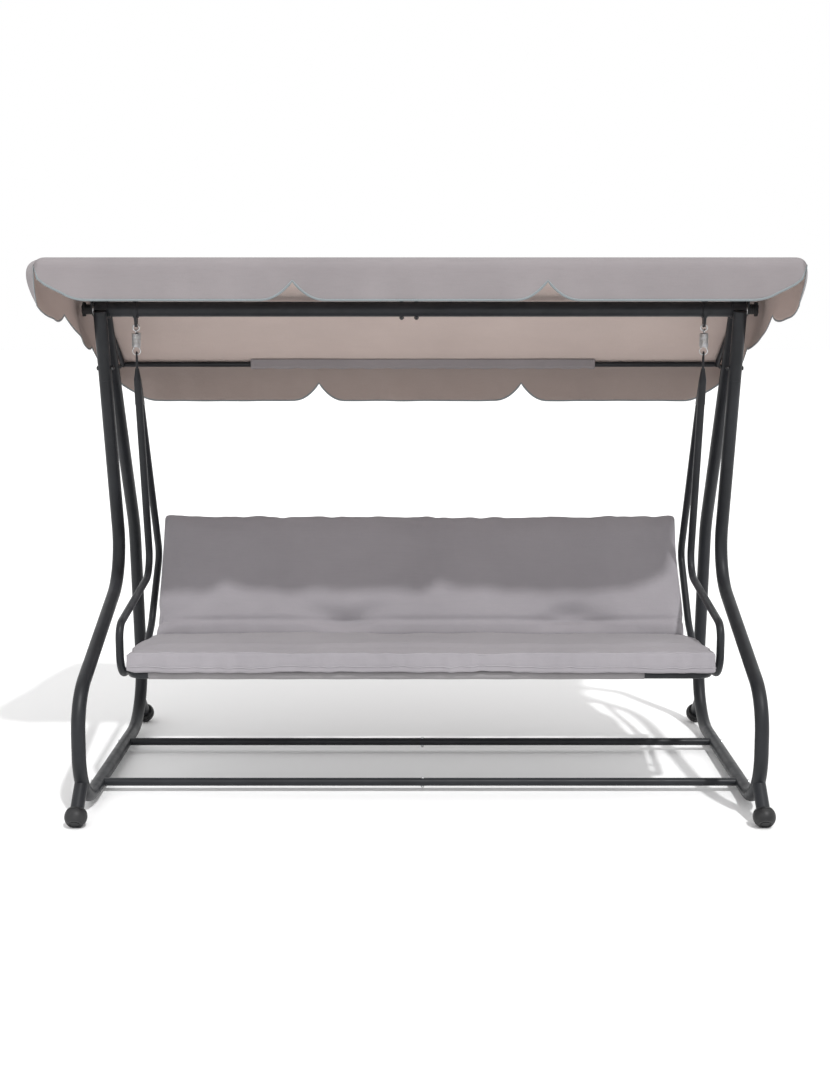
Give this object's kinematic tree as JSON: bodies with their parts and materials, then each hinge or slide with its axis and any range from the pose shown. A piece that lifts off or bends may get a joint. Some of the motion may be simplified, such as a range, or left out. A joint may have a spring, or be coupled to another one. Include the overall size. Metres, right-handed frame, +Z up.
{
  "type": "canopy swing bench",
  "caption": "Garden swing bench with a tilting scalloped canopy, curved tube side frames, spring-hung seat and a backrest that reclines flat.",
  "frame": {"origin": "on the ground, at the middle of the footprint of the four foot caps and under the top beam", "axes": "+X along the top beam to the right as seen from the front, -Y towards the front where people sit down, +Z up"},
  "size_m": [2.24, 1.226, 1.7233],
  "materials": {
    "frame_paint": "satin",
    "zinc_plate": "satin",
    "black_plastic": "satin",
    "canopy_fabric": "matte",
    "cushion_fabric": "matte",
    "sling_fabric": "matte"
  },
  "bodies": {
    "frame": {"beam_left": "frame_paint", "beam_right": "frame_paint", "beam_joint_bolts": "zinc_plate", "beam_end_plugs": "zinc_plate", "leg_head_left": "frame_paint", "leg_head_right": "frame_paint", "leg_head_bolts": "zinc_plate", "front_leg_left": "frame_paint", "front_leg_right": "frame_paint", "rear_leg_left": "frame_paint", "rear_leg_right": "frame_paint", "base_tube_left": "frame_paint", "base_tube_right": "frame_paint", "front_cross_bar_left": "frame_paint", "front_cross_bar_right": "frame_paint", "rear_cross_bar_left": "frame_paint", "rear_cross_bar_right": "frame_paint", "cross_bar_end_bolts": "zinc_plate", "cross_bar_joint_bolts": "zinc_plate", "front_foot_caps": "black_plastic", "rear_foot_caps": "black_plastic", "beam_hooks": "frame_paint"},
    "canopy": {"canopy_side_bar_left": "frame_paint", "canopy_side_bar_right": "frame_paint", "canopy_brackets": "frame_paint", "canopy_front_bar": "frame_paint", "canopy_rear_bar": "frame_paint", "canopy_bar_plugs": "black_plastic", "canopy_roof": "canopy_fabric", "valance_front": "canopy_fabric", "valance_rear": "canopy_fabric", "valance_left": "canopy_fabric", "valance_right": "canopy_fabric", "rear_bar_sleeve": "canopy_fabric"},
    "knob_left": {"canopy_knob_left": "black_plastic"},
    "knob_right": {"canopy_knob_right": "black_plastic"},
    "suspension": {"hook_rings": "zinc_plate", "spring_left": "zinc_plate", "spring_right": "zinc_plate"},
    "seat": {"hanger_rods": "frame_paint", "hanger_yokes": "frame_paint", "front_hanger_left": "frame_paint", "front_hanger_right": "frame_paint", "rear_hanger_left": "frame_paint", "rear_hanger_right": "frame_paint", "arm_bolts_and_spacers": "zinc_plate", "seat_frame": "frame_paint", "seat_rear_tube": "frame_paint", "seat_sling": "sling_fabric", "seat_cushion": "cushion_fabric", "recline_brackets": "zinc_plate"},
    "backrest": {"back_frame": "frame_paint", "back_sling": "sling_fabric", "back_cushion": "cushion_fabric", "recline_ears": "zinc_plate", "recline_bolts": "zinc_plate"}
  },
  "joints": [
    {"name": "seat_swing", "type": "hinge", "parent": "frame", "child": "suspension", "pos_m": [0, 0, 1.517], "axis": [1, 0, 0], "range_deg": [-20, 20]},
    {"name": "spring_bounce", "type": "slide", "parent": "suspension", "child": "seat", "axis": [0, 0, -1], "range_m": [0, 0.03], "stiffness_N_per_m": 60000, "springref_m": -0.012, "deforming": ["spring_left", "spring_right"]},
    {"name": "back_recline", "type": "hinge", "parent": "seat", "child": "backrest", "pos_m": [0, 0.105, 0.345], "axis": [-1, 0, 0], "range_deg": [0, 58]},
    {"name": "canopy_tilt", "type": "hinge", "parent": "frame", "child": "canopy", "pos_m": [0, 0, 1.567], "axis": [1, 0, 0], "range_deg": [-15, 18]},
    {"name": "knob_left_turn", "type": "hinge", "parent": "frame", "child": "knob_left", "pos_m": [-1.095, 0, 1.567], "axis": [1, 0, 0], "continuous": true},
    {"name": "knob_right_turn", "type": "hinge", "parent": "frame", "child": "knob_right", "pos_m": [1.095, 0, 1.567], "axis": [1, 0, 0], "continuous": true}
  ]
}
